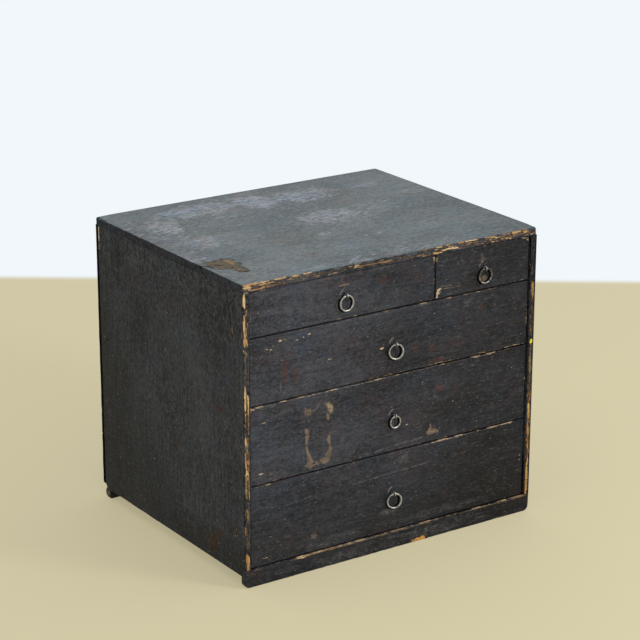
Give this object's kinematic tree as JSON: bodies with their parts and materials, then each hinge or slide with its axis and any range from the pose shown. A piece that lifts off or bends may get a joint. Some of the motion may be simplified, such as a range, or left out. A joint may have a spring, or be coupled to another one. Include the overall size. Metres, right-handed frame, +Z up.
{
  "type": "tansu chest",
  "caption": "Low wooden chest with two small drawers over wide ones, each drawn by an iron ring, on two base rails.",
  "frame": {"origin": "on the floor, under the centre of the box that the whole chest fills, ring pulls included", "axes": "+X to the viewer's right along the front, +Y from the front to the back, +Z up"},
  "size_m": [0.455, 0.3708, 0.4],
  "materials": {
    "front_paint": "worn blue-black paint over horizontal grain",
    "top_paint": "satin blue-black paint, rubbed",
    "side_paint": "worn brown-black paint over vertical grain",
    "bare_wood": "bare, aged",
    "peg_wood": "bare, hard",
    "iron": "wrought, rubbed bright"
  },
  "bodies": {
    "case": {"top_board": "top_paint", "left_panel": "side_paint", "right_panel": "side_paint", "back_board": "side_paint", "bottom_board": "bare_wood", "front_rail": "front_paint", "rear_rail": "side_paint", "upper_shelf": "bare_wood", "middle_shelf": "bare_wood", "lower_shelf": "bare_wood", "divider": "bare_wood", "case_pegs": "peg_wood"},
    "top_left_drawer": {"top_left_drawer_front": "front_paint", "top_left_drawer_left_side": "bare_wood", "top_left_drawer_right_side": "bare_wood", "top_left_drawer_back": "bare_wood", "top_left_drawer_bottom": "bare_wood", "top_left_drawer_pegs": "peg_wood", "top_left_drawer_pin": "iron"},
    "top_left_drawer_ring": {"top_left_drawer_ring": "iron"},
    "top_right_drawer": {"top_right_drawer_front": "front_paint", "top_right_drawer_left_side": "bare_wood", "top_right_drawer_right_side": "bare_wood", "top_right_drawer_back": "bare_wood", "top_right_drawer_bottom": "bare_wood", "top_right_drawer_pegs": "peg_wood", "top_right_drawer_pin": "iron"},
    "top_right_drawer_ring": {"top_right_drawer_ring": "iron"},
    "second_drawer": {"second_drawer_front": "front_paint", "second_drawer_left_side": "bare_wood", "second_drawer_right_side": "bare_wood", "second_drawer_back": "bare_wood", "second_drawer_bottom": "bare_wood", "second_drawer_pegs": "peg_wood", "second_drawer_pin": "iron"},
    "second_drawer_ring": {"second_drawer_ring": "iron"},
    "third_drawer": {"third_drawer_front": "front_paint", "third_drawer_left_side": "bare_wood", "third_drawer_right_side": "bare_wood", "third_drawer_back": "bare_wood", "third_drawer_bottom": "bare_wood", "third_drawer_pegs": "peg_wood", "third_drawer_pin": "iron"},
    "third_drawer_ring": {"third_drawer_ring": "iron"},
    "bottom_drawer": {"bottom_drawer_front": "front_paint", "bottom_drawer_left_side": "bare_wood", "bottom_drawer_right_side": "bare_wood", "bottom_drawer_back": "bare_wood", "bottom_drawer_bottom": "bare_wood", "bottom_drawer_pegs": "peg_wood", "bottom_drawer_pin": "iron"},
    "bottom_drawer_ring": {"bottom_drawer_ring": "iron"}
  },
  "joints": [
    {"name": "top_left_drawer_slide", "type": "slide", "parent": "case", "child": "top_left_drawer", "axis": [0, -1, 0], "range_m": [0, 0.3]},
    {"name": "top_left_drawer_ring_swing", "type": "hinge", "parent": "top_left_drawer", "child": "top_left_drawer_ring", "pos_m": [-0.07675, -0.18193, 0.3612], "axis": [-1, 0, 0], "range_deg": [-8, 188]},
    {"name": "top_right_drawer_slide", "type": "slide", "parent": "case", "child": "top_right_drawer", "axis": [0, -1, 0], "range_m": [0, 0.3]},
    {"name": "top_right_drawer_ring_swing", "type": "hinge", "parent": "top_right_drawer", "child": "top_right_drawer_ring", "pos_m": [0.14105, -0.18193, 0.3592], "axis": [-1, 0, 0], "range_deg": [-8, 188]},
    {"name": "second_drawer_slide", "type": "slide", "parent": "case", "child": "second_drawer", "axis": [0, -1, 0], "range_m": [0, 0.3]},
    {"name": "second_drawer_ring_swing", "type": "hinge", "parent": "second_drawer", "child": "second_drawer_ring", "pos_m": [0, -0.18193, 0.2827], "axis": [-0.9744, 0.225, 0], "range_deg": [-8, 188]},
    {"name": "third_drawer_slide", "type": "slide", "parent": "case", "child": "third_drawer", "axis": [0, -1, 0], "range_m": [0, 0.3]},
    {"name": "third_drawer_ring_swing", "type": "hinge", "parent": "third_drawer", "child": "third_drawer_ring", "pos_m": [0, -0.18193, 0.1853], "axis": [-1, 0, 0], "range_deg": [-8, 188]},
    {"name": "bottom_drawer_slide", "type": "slide", "parent": "case", "child": "bottom_drawer", "axis": [0, -1, 0], "range_m": [0, 0.3]},
    {"name": "bottom_drawer_ring_swing", "type": "hinge", "parent": "bottom_drawer", "child": "bottom_drawer_ring", "pos_m": [0, -0.18193, 0.078], "axis": [-0.9744, 0.225, 0], "range_deg": [-8, 188]}
  ]
}
